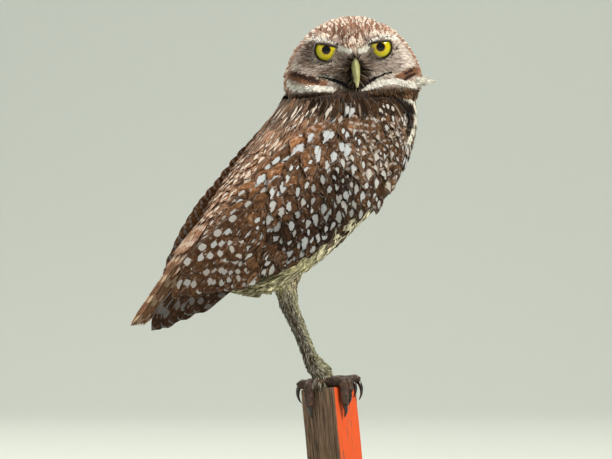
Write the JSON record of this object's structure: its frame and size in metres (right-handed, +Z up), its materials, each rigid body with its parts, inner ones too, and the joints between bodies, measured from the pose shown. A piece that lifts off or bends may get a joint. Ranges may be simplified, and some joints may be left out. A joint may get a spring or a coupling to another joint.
{
  "type": "burrowing owl model",
  "caption": "Burrowing owl standing on a cut length of wooden stake, looking back over its shoulder, on a round display stand.",
  "frame": {"origin": "centre of the stand's underside", "axes": "+Z up, the bird's face looks along -Y, its tail points to -X"},
  "size_m": [0.1832, 0.136, 0.3354],
  "materials": {
    "brown_plumage": "matte feather",
    "face_plumage": "matte feather",
    "pale_down": "matte down",
    "toe_skin": "scaly",
    "claw_horn": "semi-gloss horn",
    "bill_horn": "semi-gloss horn",
    "eye_yellow": "wet gloss",
    "weathered_wood": "weathered, one side painted orange",
    "base_black": "satin",
    "rod_steel": "brushed"
  },
  "bodies": {
    "root": {"bill_lower": "bill_horn", "bill_upper": "bill_horn", "claw_hind_left": "claw_horn", "claw_hind_right": "claw_horn", "claw_inner_left": "claw_horn", "claw_inner_right": "claw_horn", "claw_middle_left": "claw_horn", "claw_middle_right": "claw_horn", "claw_outer_left": "claw_horn", "claw_outer_right": "claw_horn", "eye_left": "eye_yellow", "eye_right": "eye_yellow", "foot_left": "toe_skin", "foot_right": "toe_skin", "head": "face_plumage", "neck": "brown_plumage", "perch_stake": "weathered_wood", "shank_left": "pale_down", "shank_right": "pale_down", "stand_base": "base_black", "stand_rod": "rod_steel", "tail": "brown_plumage", "thigh_left": "pale_down", "thigh_right": "pale_down", "torso": "brown_plumage", "wing_left": "brown_plumage", "wing_right": "brown_plumage"}
  },
  "joints": []
}
